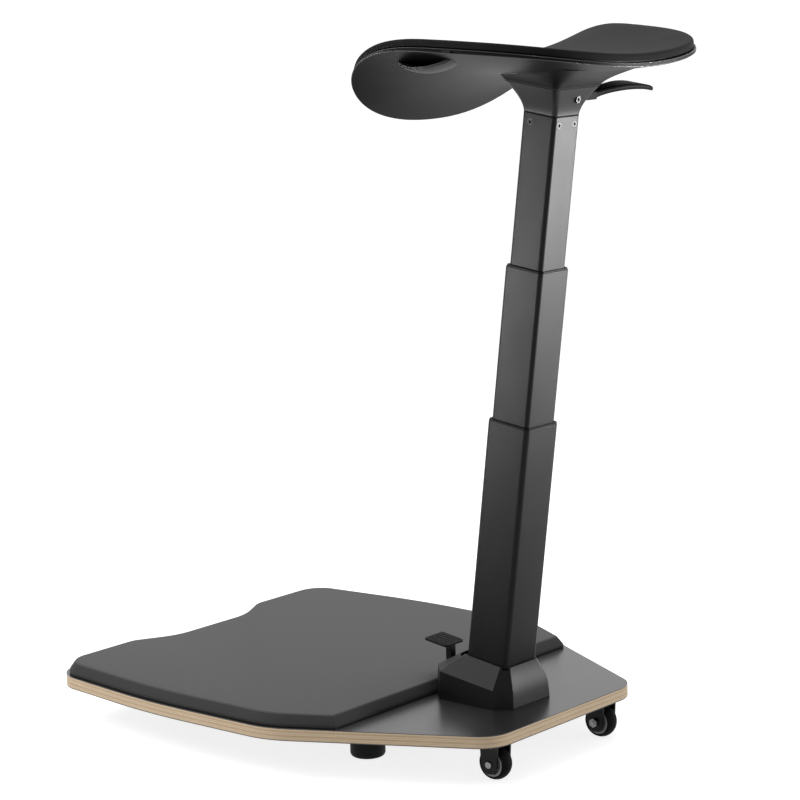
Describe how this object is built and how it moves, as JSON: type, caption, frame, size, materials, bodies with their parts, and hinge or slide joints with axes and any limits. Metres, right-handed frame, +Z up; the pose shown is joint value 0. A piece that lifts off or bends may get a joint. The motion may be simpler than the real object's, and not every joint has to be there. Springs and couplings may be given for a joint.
{
  "type": "sit-stand leaning seat",
  "caption": "Dark saddle-shaped leaning seat on a tilting telescopic square column, standing on a padded plywood board with rear wheels, a release lever and a foot pedal.",
  "frame": {"origin": "on the floor, below the middle of the object's box", "axes": "+Z up, the user faces -Y, the user's left is +X, the column leans towards +Y"},
  "size_m": [0.5218, 0.754, 0.8473],
  "materials": {
    "birch_ply": "edge of birch plywood, clear sealed",
    "black_laminate": "thin black laminate with a slight sheen",
    "mat_foam": "matte dark grey moulded foam",
    "black_rubber": "matte black rubber",
    "tyre_black": "smooth black tyre",
    "grey_nylon": "grey nylon",
    "zinc_steel": "bright zinc-plated steel",
    "fork_steel": "black painted pressed steel",
    "column_coat": "satin black powder coat",
    "cast_black": "satin black casting",
    "black_plastic": "satin black moulded plastic",
    "seat_skin": "matte dark grey skinned foam"
  },
  "bodies": {
    "base": {"base_board": "birch_ply", "top_laminate": "black_laminate", "bottom_laminate": "black_laminate", "floor_mat": "mat_foam", "front_foot": "black_rubber", "rear_left_foot": "black_rubber", "rear_right_foot": "black_rubber", "foot_screws": "zinc_steel", "left_caster_fork": "fork_steel", "right_caster_fork": "fork_steel", "left_caster_axle": "zinc_steel", "right_caster_axle": "zinc_steel", "caster_screws": "zinc_steel", "hinge_bracket": "fork_steel", "hinge_bolts": "zinc_steel", "tilt_pin": "zinc_steel", "tilt_pin_clips": "zinc_steel", "column_boot": "black_plastic", "pedal_pin": "zinc_steel"},
    "column": {"outer_tube": "column_coat", "column_foot": "cast_black", "brake_sector": "cast_black", "outer_collar": "black_plastic"},
    "middle_stage": {"middle_tube": "column_coat", "middle_collar": "black_plastic", "middle_glide": "black_plastic", "middle_plug": "black_plastic", "gas_rod": "zinc_steel"},
    "upper_stage": {"inner_tube": "column_coat", "inner_glide": "black_plastic", "gas_cylinder": "fork_steel", "cylinder_nut": "zinc_steel", "seat_bracket": "cast_black", "tube_screws": "zinc_steel", "seat_bolts": "zinc_steel", "lever_pin": "zinc_steel", "seat_shell": "black_plastic", "cushion_board": "black_plastic", "seat_cushion": "seat_skin", "left_hand_grip": "black_plastic", "right_hand_grip": "black_plastic"},
    "lever": {"release_lever": "cast_black", "lever_paddle": "black_plastic"},
    "valve": {"valve_pin": "zinc_steel"},
    "pedal": {"pedal_arm": "fork_steel", "pedal_tread": "black_rubber", "brake_shoe": "black_rubber"},
    "left_wheel": {"left_caster_tyre": "tyre_black", "left_caster_hub": "grey_nylon"},
    "right_wheel": {"right_caster_tyre": "tyre_black", "right_caster_hub": "grey_nylon"}
  },
  "joints": [
    {"name": "column_tilt", "type": "hinge", "parent": "base", "child": "column", "pos_m": [0, 0.14506, 0.08379], "axis": [1, 0, 0], "range_deg": [0, 8]},
    {"name": "middle_slide", "type": "slide", "parent": "column", "child": "middle_stage", "axis": [0, 0.1392, 0.9903], "range_m": [-0.17, 0]},
    {"name": "upper_slide", "type": "slide", "parent": "middle_stage", "child": "upper_stage", "axis": [0, 0.1392, 0.9903], "range_m": [-0.17, 0]},
    {"name": "lever_lift", "type": "hinge", "parent": "upper_stage", "child": "lever", "pos_m": [-0.008, 0.25508, 0.77318], "axis": [0, 0.9903, -0.1392], "range_deg": [0, 12], "stiffness_Nm_per_rad": 0.8, "springref_deg": -11.46},
    {"name": "valve_press", "type": "slide", "parent": "upper_stage", "child": "valve", "axis": [0, -0.1392, -0.9903], "range_m": [0, 0.0024]},
    {"name": "pedal_press", "type": "hinge", "parent": "base", "child": "pedal", "pos_m": [0, 0.094, 0.086], "axis": [1, 0, 0], "range_deg": [0, 8], "stiffness_Nm_per_rad": 3, "springref_deg": -11.46},
    {"name": "left_wheel_roll", "type": "hinge", "parent": "base", "child": "left_wheel", "pos_m": [0.101, 0.219, 0.02], "axis": [1, 0, 0], "continuous": true},
    {"name": "right_wheel_roll", "type": "hinge", "parent": "base", "child": "right_wheel", "pos_m": [-0.101, 0.219, 0.02], "axis": [1, 0, 0], "continuous": true}
  ],
  "couplings": [
    {"joint": "upper_slide", "follows": "middle_slide", "ratio": 1},
    {"joint": "valve_press", "follows": "lever_lift", "m_per_rad": 0.011}
  ]
}
